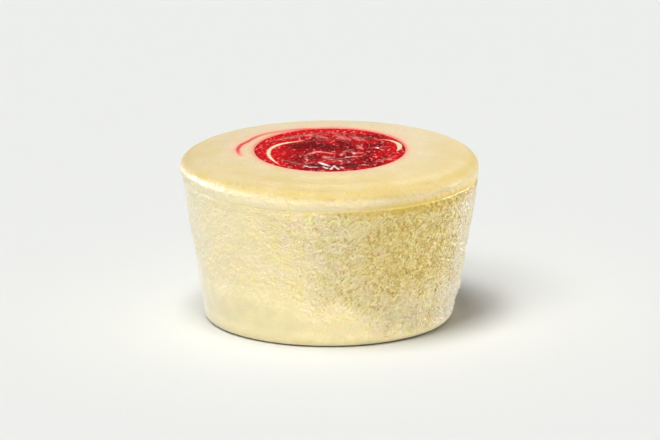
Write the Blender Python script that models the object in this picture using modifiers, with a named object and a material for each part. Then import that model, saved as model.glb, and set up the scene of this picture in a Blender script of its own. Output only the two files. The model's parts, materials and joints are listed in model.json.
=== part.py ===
"""A small round baked cheesecake for one person, standing on its flat base.

Three solids: a crumbly tapered body, the smooth layer that covers it and
hangs a little over its edge, and a shallow pool of berry sauce on top.
Metres, +Z up. The origin is under the middle of the lip, on the resting face.
"""
import math

import bpy
from mathutils import Vector, noise

MM = 0.001

# Driving sizes of the whole cake.
LIP_RADIUS = 35.0 * MM
TOTAL_HEIGHT = 40.0 * MM
SEAM_HEIGHT = 33.7 * MM
GAP = 0.3 * MM

# The body: a cone widening upwards, with a slight swell, a low bulge and a rounded foot.
# It sits a little to the right of the lip, and its foot leans back to the left.
BODY_TOP_RADIUS = LIP_RADIUS - 0.5 * MM
BODY_FOOT_RADIUS = BODY_TOP_RADIUS - 5.1 * MM
BODY_SWELL = 0.25 * MM
LOW_BULGE = 0.35 * MM
LOW_BULGE_HEIGHT = 8.0 * MM
LOW_BULGE_SPREAD = 3.5 * MM
BODY_SHIFT = 0.25 * MM
FOOT_LEAN = -0.5 * MM
LEAN_HEIGHT = 12.0 * MM
BASE_RADIUS = BODY_FOOT_RADIUS - 2.9 * MM
FOOT_HEIGHT = 3.8 * MM
EDGE_ROUND = 0.5 * MM

# The torn crumb of the side.
CRUMB_SIZE = 2.8 * MM
CRUMB_DEPTH = 0.45 * MM
CRUMB_DAMPING = 0.8
CRUMB_OCTAVES = 2
OCTAVE_STEP = 2.0
SLOW_SIZE = 24.0 * MM
SLOW_DEPTH = 0.4 * MM
CRUMB_START = 1.1 * MM
CRUMB_FADE = 1.5 * MM

# The smooth top layer and its rounded lip.
LIP_BULGE_HEIGHT = 36.1 * MM
LIP_FOOT_RADIUS = LIP_RADIUS - 0.5 * MM
LIP_UNDERCUT = 0.6 * MM
SHOULDER_RADIUS = 29.0 * MM
SHOULDER_DROP = 0.6 * MM
RIM_RADIUS = 19.5 * MM
# The top isn't quite level: it rises by this share of the way to the right.
TOP_TILT = 0.006

# The dish in the top layer that holds the sauce, longer from front to back.
DISH_RADIUS = 18.1 * MM
DISH_DEPTH = 1.9 * MM
DISH_SQUARENESS = 0.5
POOL_STRETCH = 1.18
POOL_SHIFT_RIGHT = 0.15 * MM
POOL_SHIFT_BACK = -0.6 * MM
STRETCH_FADE_RADIUS = 28.0 * MM

# The sauce: its level under the dish's rim, and the soft swirl on it.
SAUCE_BELOW_RIM = 0.25 * MM
SWIRL_HEIGHT = 0.2 * MM
SWIRL_PITCH = 5.5 * MM
SAUCE_EDGE = 0.05 * MM
SAUCE_EDGE_ANGLE = -12
# Shares of the dish's radius between which the swirl dies out.
SWIRL_INNER_END = 0.75
SWIRL_OUTER_END = 0.97

# Facets.
BODY_STEPS = 128
TOP_STEPS = 96
SAUCE_STEPS = 64
SIDE_ROWS = 24
FOOT_ROWS = 4
DISH_ROWS = 6
FALL_ROWS = 3
SHOULDER_ROWS = 6
LIP_ROWS = 4
SAUCE_RINGS = 7
SAUCE_UNDER_ROWS = 4
WELD = 0.01 * MM


def colour(red, green, blue, alpha=1.0):
    """An sRGB colour of 0 to 255 as Blender's linear values."""
    def linear(value):
        value = value / 255.0
        return value / 12.92 if value <= 0.04045 else ((value + 0.055) / 1.055) ** 2.4
    return (linear(red), linear(green), linear(blue), alpha)


def material(name, base, roughness):
    """A food material: a Principled BSDF with a colour and a roughness."""
    made = bpy.data.materials.new(name)
    made.use_nodes = True
    shader = made.node_tree.nodes["Principled BSDF"]
    shader.inputs["Base Color"].default_value = base
    shader.inputs["Roughness"].default_value = roughness
    shader.inputs["Metallic"].default_value = 0.0
    made.diffuse_color = base
    return made


def turned(name, profile, steps, collection):
    """A solid of revolution: the profile runs from the axis out, down and back in."""
    mesh = bpy.data.meshes.new(name)
    points = [(radius, 0.0, height) for radius, height in profile]
    edges = [(index, index + 1) for index in range(len(points) - 1)]
    mesh.from_pydata(points, edges, [])
    piece = bpy.data.objects.new(name, mesh)
    collection.objects.link(piece)
    screw = piece.modifiers.new("turn", "SCREW")
    screw.axis = "Z"
    screw.angle = 2.0 * math.pi
    screw.steps = steps
    screw.render_steps = steps
    screw.use_merge_vertices = True
    screw.merge_threshold = WELD
    screw.use_smooth_shade = True
    return piece


def settle(piece):
    """Replaces a piece's profile by its turned mesh, so that its points can be moved."""
    graph = bpy.context.evaluated_depsgraph_get()
    solid = bpy.data.meshes.new_from_object(piece.evaluated_get(graph))
    profile = piece.data
    piece.modifiers.clear()
    piece.data = solid
    solid.name = piece.name
    bpy.data.meshes.remove(profile)
    return solid


def smooth_step(value, low, high):
    """0 below low, 1 above high, and a soft S between them."""
    share = min(max((value - low) / (high - low), 0.0), 1.0)
    return share * share * (3.0 - 2.0 * share)


def arc(centre, half_width, half_height, start, end, count, power=1.0):
    """Points on a rounded corner about centre, angles in degrees from +X towards +Z."""
    points = []
    for index in range(count + 1):
        angle = math.radians(start + (end - start) * index / count)
        across = math.copysign(abs(math.cos(angle)) ** power, math.cos(angle))
        up = math.copysign(abs(math.sin(angle)) ** power, math.sin(angle))
        points.append((centre[0] + half_width * across, centre[1] + half_height * up))
    return points


def side_radius(height):
    """The body's radius at a height on its side, above the rounded foot."""
    share = (height - FOOT_HEIGHT) / (SEAM_HEIGHT - FOOT_HEIGHT)
    taper = BODY_FOOT_RADIUS + (BODY_TOP_RADIUS - BODY_FOOT_RADIUS) * share
    low = (height - LOW_BULGE_HEIGHT) / LOW_BULGE_SPREAD
    return taper + BODY_SWELL * math.sin(math.pi * share) + LOW_BULGE * math.exp(-low * low)


def body_profile():
    """Top face, rounded top edge, tapered side, rounded foot and flat base."""
    top = SEAM_HEIGHT - GAP
    side_top = top - EDGE_ROUND
    points = [(0.0, top), (side_radius(side_top) - 2.0 * EDGE_ROUND, top)]
    for row in range(SIDE_ROWS + 1):
        height = side_top + (FOOT_HEIGHT - side_top) * row / SIDE_ROWS
        points.append((side_radius(height), height))
    foot_width = BODY_FOOT_RADIUS - BASE_RADIUS
    points += arc((BASE_RADIUS, FOOT_HEIGHT), foot_width, FOOT_HEIGHT, 0, -90, FOOT_ROWS)[1:]
    points.append((0.0, 0.0))
    return points


def roughen_side(mesh):
    """Gives the side its slow unevenness and torn crumb, leaving both flat faces flat."""
    high = SEAM_HEIGHT - GAP
    for vertex in mesh.vertices:
        place = vertex.co
        around = Vector((place.x, place.y, 0.0))
        on_side = smooth_step(place.z, CRUMB_START, CRUMB_START + CRUMB_FADE)
        on_side *= 1.0 - smooth_step(place.z, high - CRUMB_FADE, high)
        if around.length > 0.0 and on_side > 0.0:
            slow = noise.noise(place / SLOW_SIZE)
            crumb = noise.fractal(place / CRUMB_SIZE, CRUMB_DAMPING, OCTAVE_STEP, CRUMB_OCTAVES)
            push = SLOW_DEPTH * slow + CRUMB_DEPTH * crumb
            vertex.co = place + around.normalized() * push * on_side


def lean_body(mesh):
    """Sets the body to the right of the lip, with its foot leaning back to the left."""
    for vertex in mesh.vertices:
        vertex.co.x += BODY_SHIFT + FOOT_LEAN * max(0.0, 1.0 - vertex.co.z / LEAN_HEIGHT)


def top_profile():
    """Dish, rim, gently falling top, rounded lip and the flat underside."""
    middle = (0.0, TOTAL_HEIGHT)
    dish = arc(middle, DISH_RADIUS, DISH_DEPTH, -90, 0, DISH_ROWS, DISH_SQUARENESS)
    shoulder_height = TOTAL_HEIGHT - SHOULDER_DROP
    points = dish + [(RIM_RADIUS, TOTAL_HEIGHT)]
    for row in range(1, FALL_ROWS):
        share = row / FALL_ROWS
        radius = RIM_RADIUS + (SHOULDER_RADIUS - RIM_RADIUS) * share
        points.append((radius, TOTAL_HEIGHT - SHOULDER_DROP * share * share))
    width = LIP_RADIUS - SHOULDER_RADIUS
    rise = shoulder_height - LIP_BULGE_HEIGHT
    points += arc((SHOULDER_RADIUS, LIP_BULGE_HEIGHT), width, rise, 90, 0, SHOULDER_ROWS)
    inner = LIP_FOOT_RADIUS - LIP_UNDERCUT
    drop = LIP_BULGE_HEIGHT - SEAM_HEIGHT
    points += arc((inner, LIP_BULGE_HEIGHT), LIP_RADIUS - inner, drop, 0, -90, LIP_ROWS)[1:]
    points.append((0.0, SEAM_HEIGHT))
    return points


def sauce_profile():
    """The level top of the pool, its thin edge, and an underside that follows the dish."""
    level = TOTAL_HEIGHT - SAUCE_BELOW_RIM
    middle = (0.0, TOTAL_HEIGHT)
    under = arc(middle, DISH_RADIUS - GAP, DISH_DEPTH - GAP, SAUCE_EDGE_ANGLE, -90,
                SAUCE_UNDER_ROWS, DISH_SQUARENESS)
    edge_radius = under[0][0]
    points = [(edge_radius * ring / SAUCE_RINGS, level) for ring in range(SAUCE_RINGS)]
    points.append((edge_radius, level - SAUCE_EDGE))
    return points + under[:-1] + [(0.0, under[-1][1])]


def shape_top(mesh):
    """Lengthens the pool and its dish from front to back, and tilts the top a little."""
    for vertex in mesh.vertices:
        radius = math.hypot(vertex.co.x, vertex.co.y)
        height = vertex.co.z - SEAM_HEIGHT
        if height > GAP:
            share = 1.0 - smooth_step(radius, DISH_RADIUS, STRETCH_FADE_RADIUS)
            vertex.co.y *= 1.0 + (POOL_STRETCH - 1.0) * share
            vertex.co.y += POOL_SHIFT_BACK * share
            vertex.co.x += POOL_SHIFT_RIGHT * share
            vertex.co.z += TOP_TILT * vertex.co.x * height / (TOTAL_HEIGHT - SEAM_HEIGHT)


def swirl_sauce(mesh):
    """Raises a soft spiral ridge on the pool, flat again at its edge and its middle."""
    surface = TOTAL_HEIGHT - SAUCE_BELOW_RIM - 0.5 * SAUCE_EDGE
    for vertex in mesh.vertices:
        if vertex.co.z > surface:
            radius = math.hypot(vertex.co.x, vertex.co.y)
            turn = math.atan2(vertex.co.y, vertex.co.x)
            wave = math.cos(2.0 * math.pi * radius / SWIRL_PITCH - turn)
            risen = smooth_step(radius, 0.0, SWIRL_PITCH)
            ended = smooth_step(radius / DISH_RADIUS, SWIRL_INNER_END, SWIRL_OUTER_END)
            vertex.co.z += SWIRL_HEIGHT * wave * risen * (1.0 - ended)


def clear_scene():
    for item in list(bpy.data.objects):
        bpy.data.objects.remove(item, do_unlink=True)


def build():
    clear_scene()
    collection = bpy.data.collections.new("cheesecake")
    bpy.context.scene.collection.children.link(collection)

    body = turned("cheesecake_body", body_profile(), BODY_STEPS, collection)
    solid = settle(body)
    roughen_side(solid)
    lean_body(solid)
    body.data.materials.append(material("baked_crumb", colour(238, 222, 168), 0.7))

    top = turned("smooth_top", top_profile(), TOP_STEPS, collection)
    shape_top(settle(top))
    top.data.materials.append(material("set_cream", colour(240, 222, 158), 0.45))

    sauce = turned("berry_sauce", sauce_profile(), SAUCE_STEPS, collection)
    solid = settle(sauce)
    swirl_sauce(solid)
    shape_top(solid)
    sauce.data.materials.append(material("berry_glaze", colour(165, 12, 28), 0.15))


build()
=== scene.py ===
# %% [markdown]
# # A one-portion cheesecake
# The cake has three parts that show: a torn, crumbly body of baked cream cheese, a smooth
# layer of set cream that hangs a little over its edge, and a shallow pool of berry sauce.
# Their plain solids are loaded first and stay fixed. This lesson models a fine surface
# over each solid, gives each its finish, and lights them like a small studio product shot.

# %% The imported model
import json
import math

import bpy
import numpy as np
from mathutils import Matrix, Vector, noise

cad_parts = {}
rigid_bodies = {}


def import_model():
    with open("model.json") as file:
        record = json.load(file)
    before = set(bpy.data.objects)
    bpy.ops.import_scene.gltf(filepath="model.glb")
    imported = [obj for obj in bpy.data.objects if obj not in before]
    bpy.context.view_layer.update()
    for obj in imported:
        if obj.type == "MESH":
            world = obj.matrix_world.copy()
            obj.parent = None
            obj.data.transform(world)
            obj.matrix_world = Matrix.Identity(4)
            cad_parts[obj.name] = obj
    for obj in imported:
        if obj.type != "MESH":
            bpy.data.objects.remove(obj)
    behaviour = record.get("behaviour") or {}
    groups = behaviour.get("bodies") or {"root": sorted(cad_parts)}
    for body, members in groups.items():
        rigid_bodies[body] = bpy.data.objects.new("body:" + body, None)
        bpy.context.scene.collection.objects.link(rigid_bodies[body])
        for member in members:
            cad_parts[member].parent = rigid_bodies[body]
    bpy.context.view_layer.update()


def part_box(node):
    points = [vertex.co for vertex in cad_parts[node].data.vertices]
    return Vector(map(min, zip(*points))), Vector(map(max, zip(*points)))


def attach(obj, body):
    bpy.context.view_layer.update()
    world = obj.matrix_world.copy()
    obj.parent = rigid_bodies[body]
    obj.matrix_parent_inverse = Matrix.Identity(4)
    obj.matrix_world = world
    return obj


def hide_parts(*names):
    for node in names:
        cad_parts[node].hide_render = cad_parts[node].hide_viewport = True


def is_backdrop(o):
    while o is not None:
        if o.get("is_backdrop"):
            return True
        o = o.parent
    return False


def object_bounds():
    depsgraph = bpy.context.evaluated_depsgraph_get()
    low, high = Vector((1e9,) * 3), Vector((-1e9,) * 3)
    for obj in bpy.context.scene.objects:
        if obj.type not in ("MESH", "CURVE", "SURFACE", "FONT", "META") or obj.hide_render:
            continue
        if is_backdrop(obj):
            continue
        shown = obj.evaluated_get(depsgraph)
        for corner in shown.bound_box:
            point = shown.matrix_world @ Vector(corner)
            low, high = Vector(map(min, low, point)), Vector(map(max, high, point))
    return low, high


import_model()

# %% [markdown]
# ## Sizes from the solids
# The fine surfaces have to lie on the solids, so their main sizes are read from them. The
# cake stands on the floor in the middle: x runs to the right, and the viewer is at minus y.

MM = 0.001
top_low, top_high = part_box("smooth_top")

LIP_RADIUS = (top_high.x - top_low.x) / 2
SEAM_HEIGHT = top_low.z
BODY_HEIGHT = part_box("cheesecake_body")[1].z
# The level of the top in the middle, and how much it rises for each metre to the right.
TOTAL_HEIGHT = 40.0 * MM
TOP_TILT = 0.006
print("lip", round(2 * LIP_RADIUS / MM, 1), "mm wide, seam at", round(SEAM_HEIGHT / MM, 1), "mm")

# %% [markdown]
# ## Helpers for round pieces
# Every part of the cake is close to round, but none is a true turned shape: the pool is
# longer from front to back and the foot leans. So a piece starts as a filled circle that
# is extruded ring by ring, each ring moved and scaled on its own, as one would by hand.
# Subdivision then makes the fine surface that the relief is pressed into.

# %% Ring by ring
def loft(name, rings, sides):
    """Extrudes a filled circle through rings of (centre x, centre y, half width, half depth, height)."""
    bpy.ops.object.select_all(action="DESELECT")
    bpy.ops.mesh.primitive_circle_add(vertices=sides, radius=1.0, fill_type="NGON")
    piece = bpy.context.object
    piece.name = piece.data.name = name
    x, y, wide, deep, height = rings[0]
    bpy.ops.object.mode_set(mode="EDIT")
    bpy.ops.mesh.select_all(action="SELECT")
    bpy.ops.transform.resize(value=(wide, deep, 1.0), center_override=(0.0, 0.0, 0.0))
    bpy.ops.transform.translate(value=(x, y, height))
    for last, ring in zip(rings, rings[1:]):
        shift = (ring[0] - last[0], ring[1] - last[1], ring[4] - last[4])
        bpy.ops.mesh.extrude_region_move(TRANSFORM_OT_translate={"value": shift})
        growth = (ring[2] / last[2], ring[3] / last[3], 1.0)
        bpy.ops.transform.resize(value=growth, center_override=(ring[0], ring[1], ring[4]))
    bpy.ops.mesh.select_all(action="SELECT")
    bpy.ops.mesh.normals_make_consistent(inside=False)
    bpy.ops.object.mode_set(mode="OBJECT")
    bpy.ops.object.shade_smooth()
    return piece


# %% [markdown]
# ## Helpers for the surface
# The relief is pressed in by modifiers, which are applied at once, so that each step works
# on the finished points of the last. Areas and small shifts are worked out on all points
# together.

# %% Modifiers and points
def finish_with(piece, kind, **settings):
    """Adds one modifier with its settings and applies it."""
    bpy.ops.object.select_all(action="DESELECT")
    piece.select_set(True)
    bpy.context.view_layer.objects.active = piece
    modifier = piece.modifiers.new(kind.lower(), kind)
    for key, value in settings.items():
        setattr(modifier, key, value)
    bpy.ops.object.modifier_apply(modifier=modifier.name)


def subdivide(piece):
    """Makes the fine surface: each face becomes sixteen."""
    finish_with(piece, "SUBSURF", levels=2, render_levels=2, use_limit_surface=False)


def read_points(piece, what="co"):
    """A piece's points, or their normals, as rows of x, y, z."""
    values = np.empty(len(piece.data.vertices) * 3, np.float32)
    source = piece.data.vertices if what == "co" else piece.data.vertex_normals
    source.foreach_get("co" if what == "co" else "vector", values)
    return values.reshape(-1, 3).astype(float)


def move_points(piece, points):
    piece.data.vertices.foreach_set("co", points.astype(np.float32).ravel())
    piece.data.update()


def push_out(piece, azimuth, distance):
    """Moves each point away from the cake's axis, by its own distance."""
    points = read_points(piece)
    points[:, 0] += distance * np.cos(azimuth)
    points[:, 1] += distance * np.sin(azimuth)
    move_points(piece, points)


# %% [markdown]
# ## Helpers for areas
# Where the crumb is torn, or where the cream is stained, is given as a share from 0 to 1 on
# each point. Soft steps in height and direction make these shares, and noise frays them.

# %% Soft shares
def ease(value, low, high):
    """0 below low, 1 above high, and a soft S between them."""
    share = np.clip((value - low) / (high - low), 0.0, 1.0)
    return share * share * (3.0 - 2.0 * share)


def fade(value, low, high):
    """1 below low, 0 above high, and a soft S between them."""
    return 1.0 - ease(value, low, high)


def facing(azimuth, degrees, low, high):
    """1 on the side of the cake that faces a direction, eased over the cosine of the angle from it."""
    return ease(np.cos(azimuth - math.radians(degrees)), low, high)


def field(points, size, start=0.0):
    """Smooth noise of about -0.5 to 0.5 at each point, with lumps of the given size."""
    return np.array([noise.noise(Vector(point) / size + Vector((start, 0.0, 0.0))) for point in points])


# %% [markdown]
# ## Helpers for masks and relief
# A mask holds a modifier to its area, and a painted value takes the area into a material.
# The relief itself is a procedural texture, read through an empty guide that can stretch
# and turn its grain.

# %% Masks, painted values and relief
def mask(piece, name, shares, steps=24):
    """A vertex group whose weights are the shares, rounded to a few steps."""
    group = piece.vertex_groups.new(name=name)
    levels = np.rint(np.clip(shares, 0.0, 1.0) * steps).astype(int)
    for level in range(1, steps + 1):
        group.add(np.nonzero(levels == level)[0].tolist(), level / steps, "REPLACE")


def paint(piece, **shares):
    """Stores a number on each point under each name, which a material then reads."""
    for name, values in shares.items():
        layer = piece.data.attributes.new(name, "FLOAT", "POINT")
        layer.data.foreach_set("value", np.asarray(values, np.float32))


def relief(piece, name, kind, size, height, group, stretch=(1, 1, 1), turn=0.0, **look):
    """Presses a procedural texture into a piece. Size is its grain and height its depth, in metres."""
    texture = bpy.data.textures.new(name, kind)
    texture.noise_scale = size
    for key, value in look.items():
        setattr(texture, key, value)
    guide = bpy.data.objects.new(name + "_guide", None)
    bpy.context.scene.collection.objects.link(guide)
    guide.scale = stretch
    guide.rotation_euler = (0.0, turn, 0.0)
    bpy.context.view_layer.update()
    finish_with(piece, "DISPLACE", texture=texture, texture_coords="OBJECT", texture_coords_object=guide,
                strength=height, mid_level=0.5, vertex_group=group)
    bpy.data.objects.remove(guide)


# %% [markdown]
# ## The crumbly body
# The mixture was baked in a tapered cup and pulled out of it. Its side leans outwards to
# the seam with a slight swell, bulges a little where it settled near the foot, and turns
# under in a tight round. Only an outline is needed, so it is lofted from a few formulas.

# %% The body's outline
BODY_TOP_RADIUS = LIP_RADIUS - 0.5 * MM
BODY_FOOT_RADIUS = BODY_TOP_RADIUS - 5.1 * MM
BODY_SWELL = 0.25 * MM
LOW_BULGE = 0.35 * MM
LOW_BULGE_HEIGHT = 8.0 * MM
LOW_BULGE_SPREAD = 3.5 * MM
BODY_SHIFT = 0.25 * MM
FOOT_LEAN = -0.5 * MM
LEAN_HEIGHT = 12.0 * MM
BASE_RADIUS = BODY_FOOT_RADIUS - 2.9 * MM
BASE_INSET = 1.5 * MM
FOOT_HEIGHT = 3.8 * MM
FOOT_FULLNESS = 0.35
EDGE_ROUND = 0.5 * MM
# The last rings, as (step inwards, step up), run on into the top layer, where they are hidden.
TUCKED_RINGS = [(0.05 * MM, 0.4 * MM), (0.15 * MM, 0.9 * MM), (4.0 * MM, 1.0 * MM)]
SIDES = 160


def side_radius(height):
    share = (height - FOOT_HEIGHT) / (SEAM_HEIGHT - FOOT_HEIGHT)
    taper = BODY_FOOT_RADIUS + (BODY_TOP_RADIUS - BODY_FOOT_RADIUS) * share
    low = (height - LOW_BULGE_HEIGHT) / LOW_BULGE_SPREAD
    return taper + BODY_SWELL * math.sin(math.pi * share) + LOW_BULGE * math.exp(-low * low)


def body_ring(radius, height):
    shift = BODY_SHIFT + FOOT_LEAN * max(0.0, 1.0 - height / LEAN_HEIGHT)
    return (shift, 0.0, radius, radius, height)


def body_rings(side_rows=27, foot_rows=6):
    side_top = BODY_HEIGHT - EDGE_ROUND
    rings = [body_ring(BASE_RADIUS - BASE_INSET, 0.0)]
    for row in range(foot_rows):
        angle = math.radians(90.0 * row / foot_rows)
        fullness = math.sin(angle) ** FOOT_FULLNESS
        radius = BASE_RADIUS + (side_radius(FOOT_HEIGHT) - BASE_RADIUS) * fullness
        rings.append(body_ring(radius, FOOT_HEIGHT * (1.0 - math.cos(angle))))
    for row in range(side_rows + 1):
        height = FOOT_HEIGHT + (side_top - FOOT_HEIGHT) * row / side_rows
        rings.append(body_ring(side_radius(height), height))
    for inwards, up in TUCKED_RINGS:
        rings.append(body_ring(side_radius(side_top) - inwards, BODY_HEIGHT + up))
    return rings


body = loft("crumb_body", body_rings(), SIDES)
subdivide(body)
print("body:", len(body.data.polygons), "faces")

# %% [markdown]
# ### Where the crumb is torn
# Pulling the cake from its cup tore its skin. The side is matte and full of small curds,
# pits and scrapes, most of all at the right, and only the lower left stayed smooth, where
# it let go cleanly. These areas fade into each other, so each is a soft, frayed share.

# %% Torn, scraped and whole skin
RIGHT = -20
LEFT = 195
smooth_points = read_points(body)
smooth_normals = read_points(body, "normal")
azimuth = np.arctan2(smooth_points[:, 1], smooth_points[:, 0] - BODY_SHIFT)
height = smooth_points[:, 2]

# 1 at the right of the photograph's view and 0 at its left.
to_right = 0.5 + 0.5 * np.cos(azimuth - math.radians(RIGHT))
on_side = ease(height, 0.3 * MM, 2.0 * MM) * fade(height, BODY_HEIGHT, BODY_HEIGHT + 0.5 * MM)

# The crumb reaches lower towards the right.
crumb_floor = 11.0 - 4.0 * ease(to_right, 0.4, 0.67) - 6.5 * ease(to_right, 0.67, 0.92)
crumb_floor = (crumb_floor + 3.0 * field(smooth_points, 4.0 * MM, 3.0)) * MM
torn = on_side * (0.12 + 0.88 * ease(height, crumb_floor - 4.0 * MM, crumb_floor + 6.0 * MM))
strength = 0.35 + 0.65 * ease(to_right, 0.3, 0.8) + 0.15 * field(smooth_points, 9.0 * MM, 9.0)
torn *= np.clip(strength, 0.0, 1.0)
mask(body, "side", on_side * fade(height, BODY_HEIGHT - 2.0 * MM, BODY_HEIGHT))
mask(body, "torn", torn)
mask(body, "scraped", on_side * ease(to_right, 0.6, 0.95) * fade(height, 16.0 * MM, 24.0 * MM))
print("torn share of the body:", round(float(torn.mean()), 2))

# %% [markdown]
# ### Pressing the relief in
# A sculpted brush could make the crumb, but layers of procedural relief, each held to its
# own area by a mask, give the same look all round the cake and change with one number.
# They run from slow swells of the whole side down to single crumbs of half a millimetre.

# %% Swells, dents, curds, crumbs and scrapes
relief(body, "slow_swell", "CLOUDS", 9.0 * MM, 0.5 * MM, "side", noise_depth=1)
# At the left the crumb is smeared up over the seam.
smear = facing(azimuth, LEFT, 0.55, 0.9) * ease(height, SEAM_HEIGHT - 2.5 * MM, SEAM_HEIGHT - 0.3 * MM)
push_out(body, azimuth, 0.08 * MM * smear * (1.0 + field(smooth_points, 2.5 * MM, 5.0)))
swollen_points = read_points(body)
relief(body, "dents", "CLOUDS", 1.3 * MM, 0.6 * MM, "torn", noise_depth=1)
relief(body, "curds", "VORONOI", 0.75 * MM, -0.5 * MM, "torn", distance_metric="DISTANCE",
       noise_intensity=1.2)
relief(body, "crumbs", "CLOUDS", 0.45 * MM, 0.6 * MM, "torn", noise_depth=1)
relief(body, "scrapes", "CLOUDS", 0.8 * MM, 0.4 * MM, "scraped", stretch=(0.8, 0.8, 2.6),
       turn=math.radians(-25), noise_depth=1)
offset = ((read_points(body) - swollen_points) * smooth_normals).sum(axis=1)
print("relief from", round(offset.min() / MM, 2), "to", round(offset.max() / MM, 2), "mm")

# %% [markdown]
# ### What the crumb's colour follows
# The crumb is golden in its hollows and in the crease under the lip, which is painted
# shade, and the crease is wider to the right. High on the right it is golden too, partly its
# own tone and partly painted shade where the light falls off. A painted rim light makes it
# pale at the far right and behind it, and a streak at the front right carries the strongest
# painted glints and shade. The mesh carries these areas as painted values.

# %% Values for the crumb's finish
HOLLOW_DEPTH = 0.5 * MM
PALE_SIDE = 60
# Painted shade: a golden crease under the lip, wider to the right, where the light falls off.
crease_width = 1.5 + 1.6 * ease(to_right, 0.7, 0.95) + 1.5 * field(smooth_points, 3.0 * MM, 7.0)
crease = ease(height, BODY_HEIGHT - crease_width * MM, BODY_HEIGHT)
# Golden high on the right: partly the crumb's own tone, partly painted shade on the side that the light
# leaves. It is paler again at the right edge, where a painted rim light lies.
upper_right = ease(to_right, 0.62, 0.98) * ease(height, 6.0 * MM, 19.0 * MM)
upper_right *= 1.0 - 0.42 * ease(azimuth, math.radians(-36), math.radians(-16))
# A streak at the front right, where painted glints on the tips and painted shade in the pits are strongest.
moist_streak = ease(azimuth, math.radians(-56), math.radians(-46))
moist_streak *= fade(azimuth, math.radians(-34), math.radians(-22))
# The hollows of the relief get painted shade, and the far right and back a painted rim light.
paint(body, torn_skin=torn,
      hollow=np.clip(0.5 - offset / HOLLOW_DEPTH, 0.0, 1.0),
      crease=crease * (0.1 + 0.9 * ease(to_right, 0.45, 0.92)),
      gold=on_side * upper_right,
      steep=ease(to_right, 0.42, 0.7),
      moist=on_side * moist_streak * ease(height, 12.0 * MM, 22.0 * MM),
      pale_edge=on_side * facing(azimuth, PALE_SIDE, -0.208, 0.174))
print("golden share of the body:", round(float((on_side * upper_right).mean()), 2))

# %% [markdown]
# ## The smooth top
# A layer of finer mixture set on the body. It stands a little proud of it as a rounded
# lip, falls gently from the pool to a soft shoulder, and holds the sauce in a shallow
# dish. It is lofted from its flat underside, round the lip and over the top, down into
# the dish, and closed there under the sauce.

# %% The top layer's sizes
LIP_BULGE_HEIGHT = 36.1 * MM
LIP_INNER_RADIUS = LIP_RADIUS - 1.1 * MM
LIP_SWELL = 0.55 * MM
SHOULDER_RADIUS = 29.0 * MM
SHOULDER_DROP = 0.6 * MM
RIM_RADIUS = 19.5 * MM
POOL_RADIUS = 17.65 * MM
# The pool is longer from front to back than it is wide, and lies a little off the middle.
POOL_STRETCH = 1.18
POOL_SHIFT_RIGHT = 0.15 * MM
POOL_SHIFT_BACK = -0.6 * MM
STRETCH_START = 18.1 * MM
STRETCH_END = 28.0 * MM
DISH_DEPTH = 1.8 * MM
SAUCE_LEVEL = TOTAL_HEIGHT - 0.08 * MM


def top_ring(radius, height):
    """A ring that is round at the lip and takes on the pool's own shape towards the middle."""
    share = float(fade(radius, STRETCH_START, STRETCH_END)) if height > LIP_BULGE_HEIGHT else 0.0
    deep = radius * (1.0 + (POOL_STRETCH - 1.0) * share)
    shift = 0.6 * BODY_SHIFT * float(ease(-height, -LIP_BULGE_HEIGHT, -SEAM_HEIGHT))
    return (POOL_SHIFT_RIGHT * share + shift, POOL_SHIFT_BACK * share, radius, deep, height)


def arc(radius, height, wide, high, start, end, rows):
    """Points round a rounded corner, from start to end in degrees, 0 outwards and 90 up."""
    angles = [math.radians(start + (end - start) * row / rows) for row in range(rows + 1)]
    return [(radius + wide * math.cos(angle), height + high * math.sin(angle)) for angle in angles]


# %% [markdown]
# ### Its outline
# The rings lie closest where the form turns: round the shoulder and over the rim of the
# dish. Once the outline is lofted, the top is tilted a little, as the cake in the
# photograph is.

# %% From the underside to the dish
def top_rings(lip_rows=6, shoulder_rows=8, fall_rows=13, rim_rows=3):
    points = [(LIP_INNER_RADIUS - 3.0 * MM, SEAM_HEIGHT), (LIP_INNER_RADIUS, SEAM_HEIGHT)]
    lip_height = LIP_BULGE_HEIGHT - SEAM_HEIGHT - 0.15 * MM
    for row in range(lip_rows + 1):
        share = 1.0 - row / lip_rows
        points.append((LIP_RADIUS - LIP_SWELL * share * share, LIP_BULGE_HEIGHT - share * lip_height))
    shoulder_height = TOTAL_HEIGHT - SHOULDER_DROP - LIP_BULGE_HEIGHT
    points += arc(SHOULDER_RADIUS, LIP_BULGE_HEIGHT, LIP_RADIUS - SHOULDER_RADIUS, shoulder_height,
                  0, 90, shoulder_rows)[1:]
    for row in range(1, fall_rows + 1):
        share = 1.0 - row / fall_rows
        points.append((RIM_RADIUS + (SHOULDER_RADIUS - RIM_RADIUS) * share,
                       TOTAL_HEIGHT - SHOULDER_DROP * share * share))
    points += [(RIM_RADIUS - 0.6 * MM, TOTAL_HEIGHT), (POOL_RADIUS + 0.65 * MM, TOTAL_HEIGHT)]
    points += arc(POOL_RADIUS + 0.4 * MM, SAUCE_LEVEL - 0.3 * MM, -0.5 * MM, 0.5 * MM, 90, 0, rim_rows)
    points += [(POOL_RADIUS - 1.2 * MM, TOTAL_HEIGHT - 0.7 * DISH_DEPTH),
               (POOL_RADIUS - 3.5 * MM, TOTAL_HEIGHT - DISH_DEPTH),
               (POOL_RADIUS - 8.0 * MM, TOTAL_HEIGHT - DISH_DEPTH)]
    return [top_ring(radius, height) for radius, height in points]


def tilt(piece):
    """The top isn't quite level: it rises a little to the right, less so towards the seam."""
    points = read_points(piece)
    share = np.clip((points[:, 2] - SEAM_HEIGHT) / (TOTAL_HEIGHT - SEAM_HEIGHT), 0.0, 1.2)
    points[:, 2] += TOP_TILT * points[:, 0] * share
    move_points(piece, points)


top = loft("cream_top", top_rings(), SIDES)
subdivide(top)
tilt(top)

# %% [markdown]
# ### The lip at the left
# There the lip runs on into the side without a fold, so the curve under its bulge is
# drawn in. Its points are moved straight inwards, which is simpler than other rings.

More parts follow.
